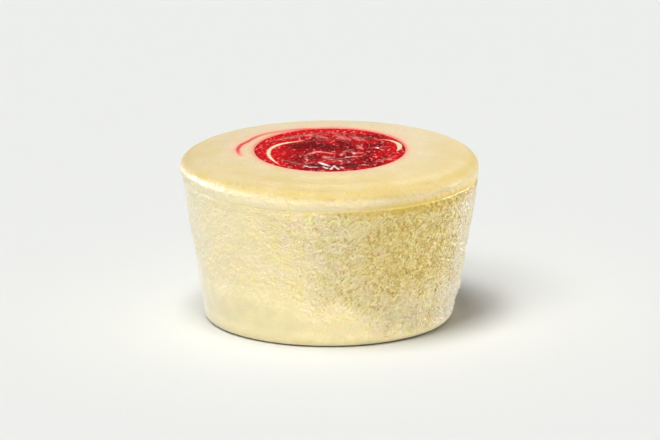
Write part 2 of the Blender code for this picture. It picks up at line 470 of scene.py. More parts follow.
# %% Drawing the lip in
points = read_points(top)
around = np.arctan2(points[:, 1], points[:, 0])
fall = np.clip((LIP_BULGE_HEIGHT - points[:, 2]) / (LIP_BULGE_HEIGHT - SEAM_HEIGHT), 0.0, 1.0)
outer = np.hypot(points[:, 0], points[:, 1]) > LIP_INNER_RADIUS
push_out(top, around, LIP_SWELL * (fall * fall - fall) * facing(around, LEFT, 0.55, 0.9) * outer)
print("top:", len(top.data.polygons), "faces")

# %% [markdown]
# ## Brush strokes
# Sauce and cream were drawn through each other with the tip of a spoon, which leaves lines
# that swell and thin out. Each is a smooth curve through a few corners, every corner with
# its own width, as a brush stroke is.

# %% Drawing lines on the cake
def curve_points(corners, count=60):
    """Points on a smooth curve through the corners, each corner a row of numbers."""
    corners = np.array(corners, float)
    padded = np.vstack([2 * corners[0] - corners[1], corners, 2 * corners[-1] - corners[-2]])
    made = []
    for place in np.linspace(0.0, len(corners) - 1.0001, count):
        first = int(place)
        share = place - first
        a, b, c, d = padded[first:first + 4]
        made.append(0.5 * (2 * b + (c - a) * share + (2 * a - 5 * b + 4 * c - d) * share ** 2
                           + (3 * b - a - 3 * c + d) * share ** 3))
    return np.array(made)


def plan_of(points):
    """The points as seen from above, in mm from the middle of the pool."""
    return (points[:, :2] - (POOL_SHIFT_RIGHT, POOL_SHIFT_BACK)) / MM


def brushed(points, corners, softness):
    """How far each point lies inside a brush stroke: 1 in it, 0 outside, soft by softness.
    A corner is (x, y, width) in mm, from the middle of the pool."""
    shares = np.zeros(len(points))
    plan = plan_of(points)
    for x, y, width in curve_points(corners):
        distance = np.hypot(plan[:, 0] - x, plan[:, 1] - y)
        shares = np.maximum(shares, fade(distance, width / 2 - softness / 2, width / 2 + softness / 2))
    return shares


def strokes(points, lines, softness):
    """How far each point lies inside any of several brush strokes."""
    return np.max([brushed(points, line, softness) for line in lines], axis=0)


# %% [markdown]
# ### Sauce in the cream
# A thin arc of sauce was drawn round the back left of the pool. It faded where the spoon
# lifted, and its juice spread into the cream beside it and round the whole pool.

# %% The thin arc and its stains
points = read_points(top)
upper = ease(points[:, 2], TOTAL_HEIGHT - 2.0 * MM, TOTAL_HEIGHT - 1.0 * MM)
plan = plan_of(points)
pool_distance = np.hypot(plan[:, 0], plan[:, 1] / POOL_STRETCH) - POOL_RADIUS / MM

OUTER_ARC = [(-4.4, 19.6, 1.6), (-6.3, 19.8, 1.5), (-8.6, 19.2, 1.4), (-11.2, 17.9, 1.3),
             (-13.7, 16.6, 1.25), (-16.1, 14.4, 1.15), (-17.9, 11.4, 1.05), (-19.5, 7.5, 1.0),
             (-20.7, 5.2, 1.0), (-21.5, 1.4, 1.0), (-21.3, -2.6, 0.8), (-20.6, -5.4, 0.4)]
WIDE_ARC = [(12.0, 17.5, 3.0), (0.0, 23.0, 4.0), (-11.0, 20.0, 4.0), (-18.5, 13.5, 4.0),
            (-22.0, 4.0, 4.5), (-21.8, -5.0, 3.0)]
RIGHT_ARC = [(9.0, 18.8, 1.0), (15.0, 15.1, 1.2), (19.0, 9.3, 1.2)]
HALO_WIDTH = 1.4
arc_red = brushed(points, OUTER_ARC, 0.6)
arc_fade = (1.0 - 0.45 * ease(plan[:, 1], 8.0, 17.0)) * (0.35 + 0.65 * ease(plan[:, 1], -6.0, 0.0))
halo = brushed(points, [(x, y, width + HALO_WIDTH) for x, y, width in OUTER_ARC], 1.8)
blush = np.maximum(0.45 * brushed(points, WIDE_ARC, 3.5), 0.35 * brushed(points, RIGHT_ARC, 1.5))
fringe = np.exp(-np.clip(pool_distance - 0.3, 0.0, None) / 0.5)
paint(top, level=upper, sauce_line=arc_red * arc_fade * upper, halo=0.6 * halo * upper,
      blush=blush * upper, fringe=fringe * upper)
print("marks painted on", int((arc_red * upper > 0.5).sum()), "points")

# %% [markdown]
# ### How pale the cream is
# The cream is palest round the pool. It is pale at the back too, where that is painted
# reflection, and paler towards the sides and in a band along the lip's edge, where that is
# painted light, strongest at the left. Painted shade makes the shoulder above that band
# deeper and the seam at the right golden.

# %% Pale, band, shoulder and seam
LIP_RIGHT = -28
LIP_LEFT = 200
height = points[:, 2]
around = np.arctan2(points[:, 1], points[:, 0])
at_right = facing(around, LIP_RIGHT, 0.55, 0.95)
at_left = facing(around, LIP_LEFT, 0.3, 0.9)
# A band of painted light along the lip's edge, wider at the left.
band = fade(height, LIP_BULGE_HEIGHT - 0.5 * MM, LIP_BULGE_HEIGHT + (0.9 + 0.6 * at_left) * MM)
near_pool = ease(-np.hypot(plan[:, 0], plan[:, 1]), -29.0, -20.0)
# How pale: the cream's own tone near the pool, a painted reflection at the back, and painted light towards
# the sides and in the band.
pale = upper * (0.1 + 0.4 * near_pool) + 0.5 * band
pale += upper * (0.6 * ease(plan[:, 1], 0.0, 28.0) + 0.25 * ease(np.abs(plan[:, 0]), 5.0, 25.0))
# Painted shade deepens the shoulder, most at the right.
shoulder_start = (36.4 - 1.2 * at_right) * MM
shoulder = ease(height, shoulder_start, shoulder_start + 1.0 * MM) * fade(height, 38.0 * MM, 39.3 * MM)
# Painted shade makes the seam under the lip golden at the right.
seam_end = SEAM_HEIGHT + (0.2 + 0.5 * at_right) * MM
seam = fade(height, seam_end - 0.2 * MM, seam_end + 1.8 * MM) * facing(around, LIP_RIGHT, 0.4, 0.95)
paint(top, pale=np.clip(pale, 0.0, 1.0), seam=seam,
      shoulder=shoulder * (0.15 - 0.1 * at_left + 0.27 * at_right),
      band=band * (0.45 + 0.55 * at_left - 0.38 * at_right))
print("pale share of the top:", round(float(np.clip(pale, 0.0, 1.0).mean()), 2))

# %% [markdown]
# ## The berry sauce
# A soft, glossy sauce that was spooned on while the cream was still wet, so thin streaks
# of cream were drawn into it. Its surface isn't flat: it has a slow swirl, a few folds,
# and a rough patch near the front that breaks the light into sparkles.

# %% The pool
def sauce_rings(rows=24):
    edge = POOL_RADIUS + 0.25 * MM
    inner = 0.5 * MM
    points = [(edge - 4.0 * MM, SAUCE_LEVEL - 1.1 * MM), (edge - 1.2 * MM, SAUCE_LEVEL - 0.7 * MM),
              (edge, SAUCE_LEVEL - 0.25 * MM), (edge, SAUCE_LEVEL - 0.02 * MM)]
    for row in range(1, rows + 1):
        points.append((edge + (inner - edge) * row / rows, SAUCE_LEVEL))
    return [top_ring(radius, height) for radius, height in points]


SAUCE_SIDES = 128
sauce = loft("sauce_pool", sauce_rings(), SAUCE_SIDES)
subdivide(sauce)
print("sauce:", len(sauce.data.polygons), "faces")

# %% [markdown]
# ### Swirl, folds and tints
# The spoon turned once, which left a spiral wave. Cream that was pushed along rose into
# small folds, and cream that was stirred in further lies flat and only tints the sauce.
# The tops of both are later coloured pale pink, partly froth and partly painted highlight.

# %% Raising them
SWIRL_HEIGHT = 0.2 * MM
SWIRL_PITCH = 5.5 * MM
FOLD_HEIGHT = 0.16 * MM
TINT_HEIGHT = 0.05 * MM
points = read_points(sauce)
plan = plan_of(points)
radius = np.hypot(plan[:, 0], plan[:, 1] / POOL_STRETCH) * MM
turn = np.arctan2(plan[:, 1] / POOL_STRETCH, plan[:, 0])
surface = ease(points[:, 2], SAUCE_LEVEL - 0.1 * MM, SAUCE_LEVEL - 0.02 * MM)
inside = surface * fade(radius, POOL_RADIUS * 0.86, POOL_RADIUS * 0.99)
wave = np.cos(2.0 * math.pi * radius / SWIRL_PITCH - turn) * ease(radius, 0.0, SWIRL_PITCH)
FOLDS = [
    [(-5.5, -9.3, 0.5), (-5.1, -4.4, 0.8), (-3.1, -2.2, 0.9), (-1.1, -2.7, 0.9), (0.9, -4.0, 0.6)],
    [(-1.2, -6.7, 1.2), (0.3, -8.4, 2.1), (2.2, -10.3, 1.8)],
    [(2.8, -4.7, 0.5), (4.5, -0.5, 0.8), (5.6, -3.2, 0.6), (7.6, -2.7, 0.5)],
    [(4.0, -6.5, 0.6), (6.4, -6.0, 0.5)],
    [(6.6, 3.8, 0.7), (7.0, 2.1, 1.0), (7.5, 0.9, 0.5)],
    [(10.0, 1.6, 0.6), (11.4, 1.2, 0.8), (12.8, 1.7, 0.6)],
]
TINTS = [
    [(-0.4, 18.2, 0.8), (1.0, 15.9, 1.2)],
    [(1.8, 13.8, 1.3), (3.9, 10.4, 1.9)],
    [(5.4, 12.8, 1.2), (7.5, 9.4, 1.8)],
    [(-14.2, 9.1, 1.0), (-9.4, 11.4, 1.6), (-6.5, 13.6, 1.8), (-3.7, 13.6, 1.7), (-0.9, 11.4, 1.2)],
    [(8.7, 12.1, 0.7), (12.0, 9.4, 0.7)],
    [(11.0, -11.6, 0.8), (13.5, -9.3, 1.0), (16.0, -5.9, 0.8)],
    [(-10.5, -10.1, 0.4), (-7.0, -13.2, 0.7), (-4.0, -11.7, 0.4)],
]
folds = strokes(points, FOLDS, 1.0)
tints = strokes(points, TINTS, 1.3)
points[:, 2] += (0.5 * SWIRL_HEIGHT * wave + FOLD_HEIGHT * folds + TINT_HEIGHT * tints) * inside
move_points(sauce, points)

# %% [markdown]
# ### Lumps, ripples and ruffles
# A spooned gel has soft lumps and fine ripples all over, drawn out from front to back.
# The rough patch near the front is what breaks the light into sparkles.

# %% Pressing them in
front_middle = ease(-plan[:, 1], 7.0, 13.0) * fade(np.abs(plan[:, 0] + 0.5), 3.0, 10.0)
mask(sauce, "inside", inside)
mask(sauce, "ruffled", inside * front_middle)
DRAWN_OUT = (1.0, 1.8, 1.0)
relief(sauce, "lumps", "CLOUDS", 1.6 * MM, 0.12 * MM, "inside", stretch=(1.0, 2.0, 1.0), noise_depth=1)
relief(sauce, "ripples", "CLOUDS", 0.5 * MM, 0.03 * MM, "inside", stretch=DRAWN_OUT, noise_depth=1)
relief(sauce, "ruffles", "CLOUDS", 0.7 * MM, 0.17 * MM, "ruffled", stretch=DRAWN_OUT, noise_depth=1)
tilt(sauce)
print("sauce surface up to", round(read_points(sauce)[:, 2].max() / MM, 2), "mm")

# %% [markdown]
# ### Cream and depth in the sauce
# Two clean streaks of cream curve round the pool, and small dabs, partly foam and partly
# painted glints, gather at its front. The sauce is darker in listed areas, partly where it is
# deep and partly painted shade in hollows, has painted shade at its very edge, and is bright
# where it thins out.

# %% Values for the sauce's finish
LEFT_STREAK = [(-5.6, 10.0, 0.12), (-7.4, 8.8, 0.5), (-11.4, 5.7, 0.9), (-13.8, 1.2, 1.0),
               (-14.3, -3.4, 0.9), (-13.8, -7.4, 0.75), (-12.7, -11.0, 0.5), (-11.2, -14.7, 0.15)]
RIGHT_STREAK = [(12.0, 10.0, 0.15), (14.6, 8.1, 0.7), (16.1, 5.1, 1.2), (16.3, 1.2, 1.0),
                (15.7, -1.8, 0.25)]
# Dabs at the front of the pool: partly foam, partly painted glints.
FOAM = [
    [(-5.9, -15.0, 0.6), (-5.1, -16.0, 0.5)],
    [(-4.6, -16.6, 0.6), (-3.0, -16.6, 0.7)],
    [(-2.4, -12.0, 0.7), (-1.2, -13.7, 0.9), (-0.2, -14.9, 0.7)],
    [(-1.5, -16.0, 0.6), (-0.7, -17.9, 0.7)],
    [(1.0, -14.7, 0.5), (0.5, -17.0, 0.6), (0.3, -18.5, 0.5)],
    [(1.0, -14.7, 0.5), (1.5, -17.0, 0.6), (2.0, -18.3, 0.6)],
    [(2.5, -16.0, 0.6), (3.0, -17.6, 0.5)],
    [(7.6, -13.9, 0.5), (8.1, -14.7, 0.5)],
]
# Darker areas: partly deep sauce, partly painted shade in hollows between folds.
HOLLOWS = [
    [(-9.0, 3.1, 4.0), (-4.5, 4.2, 5.5), (0.5, 2.7, 5.0), (3.5, 1.4, 2.5)],
    [(4.2, -4.7, 0.9), (5.8, -4.0, 1.3), (7.3, -4.8, 0.9)],
    [(-9.0, -11.0, 2.0), (-3.0, -14.0, 3.5), (4.0, -15.0, 3.5), (9.0, -12.5, 2.0)],
]
cream = np.maximum(brushed(points, LEFT_STREAK, 0.3), brushed(points, RIGHT_STREAK, 0.35))
bright = ease(-plan[:, 0], 6.0, 12.5) + ease(plan[:, 0], 11.0, 15.0) + ease(plan[:, 1], 12.5, 16.5)
paint(sauce, cream=cream, bright=np.clip(bright, 0.0, 1.0),
      # Pale pink on the tops of folds and tints: partly froth, partly painted highlight.
      froth=np.maximum(folds, 0.75 * tints) * inside,
      foam=strokes(points, FOAM, 0.35) * inside,
      dark=strokes(points, HOLLOWS, 2.2) * inside,
      # Painted shade along the pool's very edge, under the rim of cream.
      edge=fade(POOL_RADIUS - radius, 0.1 * MM, 0.7 * MM))
print("streaked share:", round(float((cream > 0.5).mean()), 3))

# %% [markdown]
# ## Finishes
# Food lets light in: it enters, scatters and comes out warmer, so hollows turn gold
# instead of grey. Each finish is a principled shader with subsurface scattering, and some
# of that gold shade, and some highlights, are also painted into the colours. The colours
# are given as hex values, and the patterns have their real sizes.

# %% Colour and node helpers
NOISE = "ShaderNodeTexNoise"
RANGE = "ShaderNodeMapRange"
MATH = "ShaderNodeMath"
MIX = "ShaderNodeMix"
PAINTED = "ShaderNodeAttribute"


def hex_colour(code):
    """A hex sRGB colour as Blender's linear values."""
    channels = [int(code[place:place + 2], 16) / 255.0 for place in (1, 3, 5)]
    return [c / 12.92 if c <= 0.04045 else ((c + 0.055) / 1.055) ** 2.4 for c in channels] + [1.0]


def add_node(tree, kind, inputs=None, out=None, **settings):
    """Adds one node. Inputs maps a socket to a value, or to another node's output that feeds it.
    Gives back the output that out names, or the node itself."""
    made = tree.nodes.new(kind)
    for key, value in settings.items():
        setattr(made, key, value)
    for key, value in (inputs or {}).items():
        if isinstance(value, bpy.types.NodeSocket):
            tree.links.new(value, made.inputs[key])
        else:
            made.inputs[key].default_value = value
    return made if out is None else made.outputs[out]


def new_material(name):
    """An empty material and its node tree."""
    made = bpy.data.materials.new(name)
    made.use_nodes = True
    made.node_tree.nodes.clear()
    return made, made.node_tree


# %% [markdown]
# ### Baked cream cheese: the grain
# Torn cheesecake is matte, moist and porous. Curds of about half a millimetre are the
# finest grain that shows. They lie flat where the skin was wiped sideways, and stand
# steeply where the cake was pulled up out of its cup. Cells stand for the curds, and
# noise breaks them up and gathers them into clumps.

# %% Curds laid in two directions
CURD_SIZE = 0.42 * MM
CLUMP_SIZE = 2.2 * MM
# The direction that the curds are drawn out in, in degrees from upright, and by how much.
LAID_FLAT = (80, 1.25)
LAID_STEEP = (42, 1.7)
crumb, tree = new_material("baked_crumb")
place = add_node(tree, "ShaderNodeTexCoord", out="Object")
curd_heights = []
for degrees, stretch in (LAID_FLAT, LAID_STEEP):
    laid = add_node(tree, "ShaderNodeMapping", {
        "Vector": place, "Rotation": (0.0, math.radians(degrees), 0.0), "Scale": (1.0, 1.0, stretch)},
        out=0, vector_type="TEXTURE")
    clumps = add_node(tree, NOISE, {"Vector": laid, "Scale": 1 / CLUMP_SIZE, "Detail": 1.0}, out="Fac")
    grain = add_node(tree, NOISE, {"Vector": laid, "Scale": 1 / CURD_SIZE, "Detail": 2.0}, out="Fac")
    curds = add_node(tree, "ShaderNodeTexVoronoi", {"Vector": laid, "Scale": 1 / CURD_SIZE}, out="Distance")
    broken = add_node(tree, MATH, {0: curds, 1: -0.4, 2: grain}, out=0, operation="MULTIPLY_ADD")
    gathered = add_node(tree, MATH, {0: clumps, 1: 0.3, 2: broken}, out=0, operation="MULTIPLY_ADD")
    curd_heights.append(gathered)
steep = add_node(tree, PAINTED, out="Fac", attribute_name="steep")
crumb_height = add_node(tree, MIX, {0: steep, 2: curd_heights[0], 3: curd_heights[1]}, out=0)

# %% [markdown]
# ### Its colour
# The crumb browned unevenly: most is a warm cream, some patches stayed pinkish, others
# are a deeper yellow, and the upper right is golden, partly its own tone and partly painted
# shade. A painted rim light makes the far right and back pale. Each is a layer over the
# last, and its share comes from soft noise and from the values that the mesh carries.

# %% Patches of colour
PATCH_SIZE = 4.0 * MM
TINGE_SIZE = 2.8 * MM
area = {}
for name in ("gold", "torn_skin", "pale_edge", "moist", "hollow", "crease"):
    area[name] = add_node(tree, PAINTED, out="Fac", attribute_name=name)
patches = add_node(tree, NOISE, {"Vector": place, "Scale": 1 / PATCH_SIZE, "Detail": 3.0}, out="Fac")
tinge = add_node(tree, NOISE, {"Vector": place, "Scale": 1 / TINGE_SIZE, "Detail": 2.0}, out="Fac")
patchy = add_node(tree, RANGE, {0: patches, 1: 0.4, 2: 0.65}, out=0)
well_torn = add_node(tree, RANGE, {0: area["torn_skin"], 1: 0.1, 2: 0.6}, out=0)
pinkish = add_node(tree, RANGE, {0: tinge, 1: 0.52, 2: 0.66, 3: 0.0, 4: 0.55}, out=0)
pinkish = add_node(tree, MATH, {0: pinkish, 1: well_torn}, out=0, operation="MULTIPLY")
yellowish = add_node(tree, RANGE, {0: tinge, 1: 0.48, 2: 0.36, 3: 0.0, 4: 0.55}, out=0)
yellowish = add_node(tree, MATH, {0: yellowish, 1: well_torn}, out=0, operation="MULTIPLY")
# Golden upper right: partly the crumb's own tone, partly painted shade.
golden = add_node(tree, RANGE, {0: patches, 1: 0.4, 2: 0.62, 3: 0.65, 4: 1.0}, out=0)
golden = add_node(tree, MATH, {0: area["gold"], 1: golden}, out=0, operation="MULTIPLY")
# A painted rim light at the far right and behind.
paled = add_node(tree, MATH, {0: area["pale_edge"], 1: 0.8}, out=0, operation="MULTIPLY")
base = hex_colour("#DCCF9E")
for share, code in ((patchy, "#E6D6A4"), (area["torn_skin"], "#FCEAB6"), (pinkish, "#FBE2C6"),
                    (yellowish, "#F4E394"), (golden, "#F3D062"), (paled, "#FDEFD4")):
    base = add_node(tree, MIX, {0: share, 6: base, 7: hex_colour(code)}, out=2, data_type="RGBA")

# %% [markdown]
# ### Its pits and tips
# One height drives both the colour and the bump, so every tip gets a painted highlight and
# every pit painted golden shade. How strongly depends on how rough the skin is: most in the
# golden area and in the streak of painted glints, least round the back, under the painted
# rim light.

# %% How rough the skin is
rough = add_node(tree, RANGE, {0: area["torn_skin"], 3: 0.05, 4: 0.42}, out=0)
for name, amount in (("gold", 0.9), ("moist", 0.8)):
    rough = add_node(tree, MATH, {0: area[name], 1: amount, 2: rough}, out=0, operation="MULTIPLY_ADD")
calmer = add_node(tree, RANGE, {0: area["pale_edge"], 3: 1.0, 4: 0.5}, out=0)
uneven = add_node(tree, RANGE, {0: patches, 1: 0.36, 2: 0.62, 3: 0.35, 4: 1.35}, out=0)
for factor in (calmer, uneven):
    rough = add_node(tree, MATH, {0: rough, 1: factor}, out=0, operation="MULTIPLY")

# %% Painted shade in pits and crease, painted highlights on tips
# Painted shade where the relief is sunk.
dents = add_node(tree, RANGE, {0: area["hollow"], 1: 0.6, 2: 1.1}, out=0)
pits = add_node(tree, RANGE, {0: crumb_height, 1: 0.42, 2: 0.27}, out=0)
tips = add_node(tree, RANGE, {0: crumb_height, 1: 0.47, 2: 0.62}, out=0)
sunk = add_node(tree, MATH, {0: dents, 1: pits}, out=0, operation="ADD")
sunk = add_node(tree, MATH, {0: sunk, 1: rough}, out=0, operation="MULTIPLY", use_clamp=True)
lifted = add_node(tree, MATH, {0: tips, 1: rough}, out=0, operation="MULTIPLY", use_clamp=True)
creased = add_node(tree, MATH, {0: area["crease"], 1: 0.9}, out=0, operation="MULTIPLY")
# Painted shade in the pits is one golden colour; the painted highlights on the tips and the
# painted shade in the crease are yellower where the crumb is golden.
for share, plain, rich in ((sunk, "#D8B64C", "#D8B64C"), (lifted, "#FFF2C0", "#FFEFA2"),
                           (creased, "#F6DA84", "#DFB91E")):
    shade = add_node(tree, MIX, {0: area["gold"], 6: hex_colour(plain), 7: hex_colour(rich)}, out=2,
                     data_type="RGBA")
    base = add_node(tree, MIX, {0: share, 6: base, 7: shade}, out=2, data_type="RGBA")

# %% [markdown]
# ### Its light
# A thin coat gives the moist glints, and a little sheen the soft, floury edge. The bump
# is faint on the smooth skin and full where it is torn.

# %% The crumb's shader
bump_strength = add_node(tree, RANGE, {0: area["torn_skin"], 1: 0.25, 2: 0.9, 3: 0.12, 4: 1.0}, out=0)
bump = add_node(tree, "ShaderNodeBump", {"Height": crumb_height, "Distance": 1.2 * MM,
                                         "Strength": bump_strength}, out=0)
shader = add_node(tree, "ShaderNodeBsdfPrincipled", {
    "Base Color": base, "Roughness": 0.5, "IOR": 1.45, "Subsurface Weight": 0.5,
    "Subsurface Radius": (1.0, 0.6, 0.25), "Subsurface Scale": 0.3 * MM,
    "Coat Weight": 0.6, "Coat Roughness": 0.18, "Sheen Weight": 0.4, "Sheen Roughness": 0.5,
    "Normal": bump}, out=0)
add_node(tree, "ShaderNodeOutputMaterial", {"Surface": shader})
body.data.materials.append(crumb)
print("crumb:", len(tree.nodes), "nodes")

# %% [markdown]
# ### Set cream
# The top set slowly, so it is smooth and finely pored, with a soft moist sheen. It is a
# pale cream, with painted light in the band along the lip, and painted shade deepening the
# shoulder and making the seam golden. The pores show only on the level part, where the
# light grazes them.

# %% The cream's own colour
cream_finish, tree = new_material("set_cream")
place = add_node(tree, "ShaderNodeTexCoord", out="Object")
area = {}
for name in ("level", "pale", "shoulder", "band", "seam", "blush", "halo", "fringe", "sauce_line"):
    area[name] = add_node(tree, PAINTED, out="Fac", attribute_name=name)
clouds = add_node(tree, NOISE, {"Vector": place, "Scale": 1 / (6.0 * MM), "Detail": 2.0}, out="Fac")
pores = add_node(tree, NOISE, {"Vector": place, "Scale": 1 / (0.6 * MM), "Detail": 3.0}, out="Fac")
cloudy = add_node(tree, RANGE, {0: clouds, 1: 0.35, 2: 0.7, 3: 0.0, 4: 0.4}, out=0)
cloudy = add_node(tree, MATH, {0: cloudy, 1: area["pale"]}, out=0, operation="ADD", use_clamp=True)
seamed = add_node(tree, MATH, {0: area["seam"], 1: 0.8}, out=0, operation="MULTIPLY")
# Painted shade in the pores: the colour darkens where the pore bump dips.
pored = add_node(tree, RANGE, {0: pores, 1: 0.5, 2: 0.35, 3: 0.0, 4: 0.6}, out=0)
pored = add_node(tree, MATH, {0: area["level"], 1: pored}, out=0, operation="MULTIPLY")
# Over the base: pale with painted light and reflection, painted shade on the shoulder, a band of painted
# light, and painted shade at the seam and in the pores.
base = hex_colour("#D1BC7C")
for share, code in ((cloudy, "#E0D0AE"), (area["shoulder"], "#C2A962"), (area["band"], "#F8EAC0"),
                    (seamed, "#E0BE50"), (pored, "#DCBC70")):
    base = add_node(tree, MIX, {0: share, 6: base, 7: hex_colour(code)}, out=2, data_type="RGBA")

# %% [markdown]
# ### Its stains
# The juice of the sauce soaks into the cream: a wide blotchy blush, a halo beside the
# thin arc, a fringe round the pool, and last the arc itself.

# %% The stains of the sauce
stains = add_node(tree, NOISE, {"Vector": place, "Scale": 1 / (2.5 * MM), "Detail": 2.0}, out="Fac")
blotched = add_node(tree, RANGE, {0: stains, 1: 0.2, 2: 0.75}, out=0)
blotched = add_node(tree, MATH, {0: area["blush"], 1: blotched}, out=0, operation="MULTIPLY")
for share, code in ((blotched, "#EEB090"), (area["halo"], "#F2A48C"), (area["fringe"], "#F08878"),
                    (area["sauce_line"], "#D8281C")):
    base = add_node(tree, MIX, {0: share, 6: base, 7: hex_colour(code)}, out=2, data_type="RGBA")

# %% [markdown]
# ### Its light
# The lip has soft lumps of a millimetre or two, which break up its long highlight, and
# the level part only its pores. The thin coat is the moist sheen.

# %% The cream's shader
soft_lumps = add_node(tree, NOISE, {"Vector": place, "Scale": 1 / (1.5 * MM), "Detail": 2.0}, out="Fac")
lump_share = add_node(tree, RANGE, {0: area["level"], 3: 2.2, 4: 0.0}, out=0)
cream_height = add_node(tree, MATH, {0: soft_lumps, 1: lump_share, 2: pores}, out=0,
                        operation="MULTIPLY_ADD")
bump_strength = add_node(tree, RANGE, {0: area["level"], 3: 0.8, 4: 1.0}, out=0)
bump = add_node(tree, "ShaderNodeBump", {"Height": cream_height, "Distance": 0.35 * MM,
                                         "Strength": bump_strength}, out=0)
shader = add_node(tree, "ShaderNodeBsdfPrincipled", {
    "Base Color": base, "Roughness": 0.42, "IOR": 1.45, "Subsurface Weight": 0.6,
    "Subsurface Radius": (1.0, 0.6, 0.25), "Subsurface Scale": 0.5 * MM,
    "Coat Weight": 0.08, "Coat Roughness": 0.2, "Normal": bump}, out=0)
add_node(tree, "ShaderNodeOutputMaterial", {"Surface": shader})
top.data.materials.append(cream_finish)
print("cream:", len(tree.nodes), "nodes")

# %% [markdown]
# ### Berry sauce
# The sauce is a glossy dark red gel. The stirring left it mottled and drew its patterns
# out from front to back. It is darker in listed areas, partly deep sauce and partly painted
# shade in hollows, and painted shade darkens the pool's very edge.

# %% The gel's colour
sauce_finish, tree = new_material("berry_sauce")
place = add_node(tree, "ShaderNodeTexCoord", out="Object")
area = {}
for name in ("bright", "dark", "edge", "froth", "foam", "cream"):
    area[name] = add_node(tree, PAINTED, out="Fac", attribute_name=name)
drawn_out = add_node(tree, "ShaderNodeMapping", {"Vector": place, "Scale": (1.0, 0.5, 1.0)}, out=0)
mottle = add_node(tree, NOISE, {"Vector": drawn_out, "Scale": 1 / (2.6 * MM), "Detail": 4.0,
                                "Roughness": 0.65}, out="Fac")
mottled = add_node(tree, RANGE, {0: mottle, 1: 0.45, 2: 0.63}, out=0)
# Painted shade in the darker areas and at the pool's edge.
darkened = add_node(tree, MATH, {0: area["dark"], 1: 0.8}, out=0, operation="MULTIPLY")
edged = add_node(tree, MATH, {0: area["edge"], 1: 0.8}, out=0, operation="MULTIPLY")
base = hex_colour("#800410")
for share, code in ((mottled, "#C80C16"), (area["bright"], "#D2101A"), (darkened, "#6C020A"),
                    (edged, "#8E0A14")):
    base = add_node(tree, MIX, {0: share, 6: base, 7: hex_colour(code)}, out=2, data_type="RGBA")

# %% [markdown]
# ### The cream in it
# Froth is broken up, as whipped cream is when it is stirred in, and its pale pink is partly
# painted highlight. Specks are no bigger than half a millimetre: the pale ones are partly
# cream and partly painted glints, and fewer where the sauce is darker. The dabs at the front
# are partly foam and partly painted glints. The two streaks are clean, with a pink edge
# where they touch the sauce.

# %% Froth, specks, foam and streaks
broken_up = add_node(tree, RANGE, {0: mottle, 1: 0.4, 2: 0.56, 3: 0.15, 4: 0.85}, out=0)
froth = add_node(tree, MATH, {0: area["froth"], 1: broken_up}, out=0, operation="MULTIPLY")
specks = add_node(tree, NOISE, {"Vector": drawn_out, "Scale": 1 / (0.8 * MM), "Detail": 2.0}, out="Fac")
dark_specks = add_node(tree, RANGE, {0: specks, 1: 0.42, 2: 0.34, 3: 0.0, 4: 0.6}, out=0)
# Pale specks: partly cream, partly painted glints.
pale_specks = add_node(tree, RANGE, {0: specks, 1: 0.57, 2: 0.68, 3: 0.0, 4: 0.85}, out=0)
fewer = add_node(tree, RANGE, {0: area["dark"], 3: 1.0, 4: 0.35}, out=0)
pale_specks = add_node(tree, MATH, {0: pale_specks, 1: fewer}, out=0, operation="MULTIPLY")
streak_edge = add_node(tree, RANGE, {0: area["cream"], 1: 0.0, 2: 0.5}, out=0)
streak = add_node(tree, RANGE, {0: area["cream"], 1: 0.35, 2: 0.9}, out=0)
for share, code in ((froth, "#F69088"), (dark_specks, "#74030E"), (pale_specks, "#EE8A84"),
                    (area["foam"], "#FBE3DC"), (streak_edge, "#E8604C"), (streak, "#F6DDBA")):
    base = add_node(tree, MIX, {0: share, 6: base, 7: hex_colour(code)}, out=2, data_type="RGBA")

# %% The sauce's shader
shader = add_node(tree, "ShaderNodeBsdfPrincipled", {
    "Base Color": base, "Roughness": 0.17, "IOR": 1.42, "Specular IOR Level": 0.35,
    "Subsurface Weight": 0.1, "Subsurface Radius": (1.0, 0.15, 0.08), "Subsurface Scale": 0.5 * MM,
    "Coat Weight": 0.2, "Coat Roughness": 0.06}, out=0)
add_node(tree, "ShaderNodeOutputMaterial", {"Surface": shader})
sauce.data.materials.append(sauce_finish)
print("finishes:", [m.name for m in bpy.data.materials if m.users])

# %% [markdown]
# ## The studio
# The photograph is a product shot on a pale sweep: soft light from overhead and from the
# front left, plenty of fill from all round, and a long lens just above the cake. The
# floor is plain paper, big enough that its edge is never seen.

# %% Floor
bpy.ops.object.select_all(action="DESELECT")
bpy.ops.mesh.primitive_plane_add(size=40.0, location=(0.0, 0.0, -0.01 * MM))
floor = bpy.context.object
floor.name = "floor"
paper, tree = new_material("floor_paper")
shader = add_node(tree, "ShaderNodeBsdfDiffuse", {"Color": (0.770, 0.771, 0.732, 1.0)}, out=0)
add_node(tree, "ShaderNodeOutputMaterial", {"Surface": shader})
floor.data.materials.append(paper)
floor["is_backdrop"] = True

# %% [markdown]
# ### Fill from all round
# The camera sees the backdrop's own colour, and mirrors see a much darker and warmer room,
# as on a real set, where the lamps stand in front of black flags and only the table's edge
# is bright. One world can do both, because it can tell a camera's ray from a mirrored one.

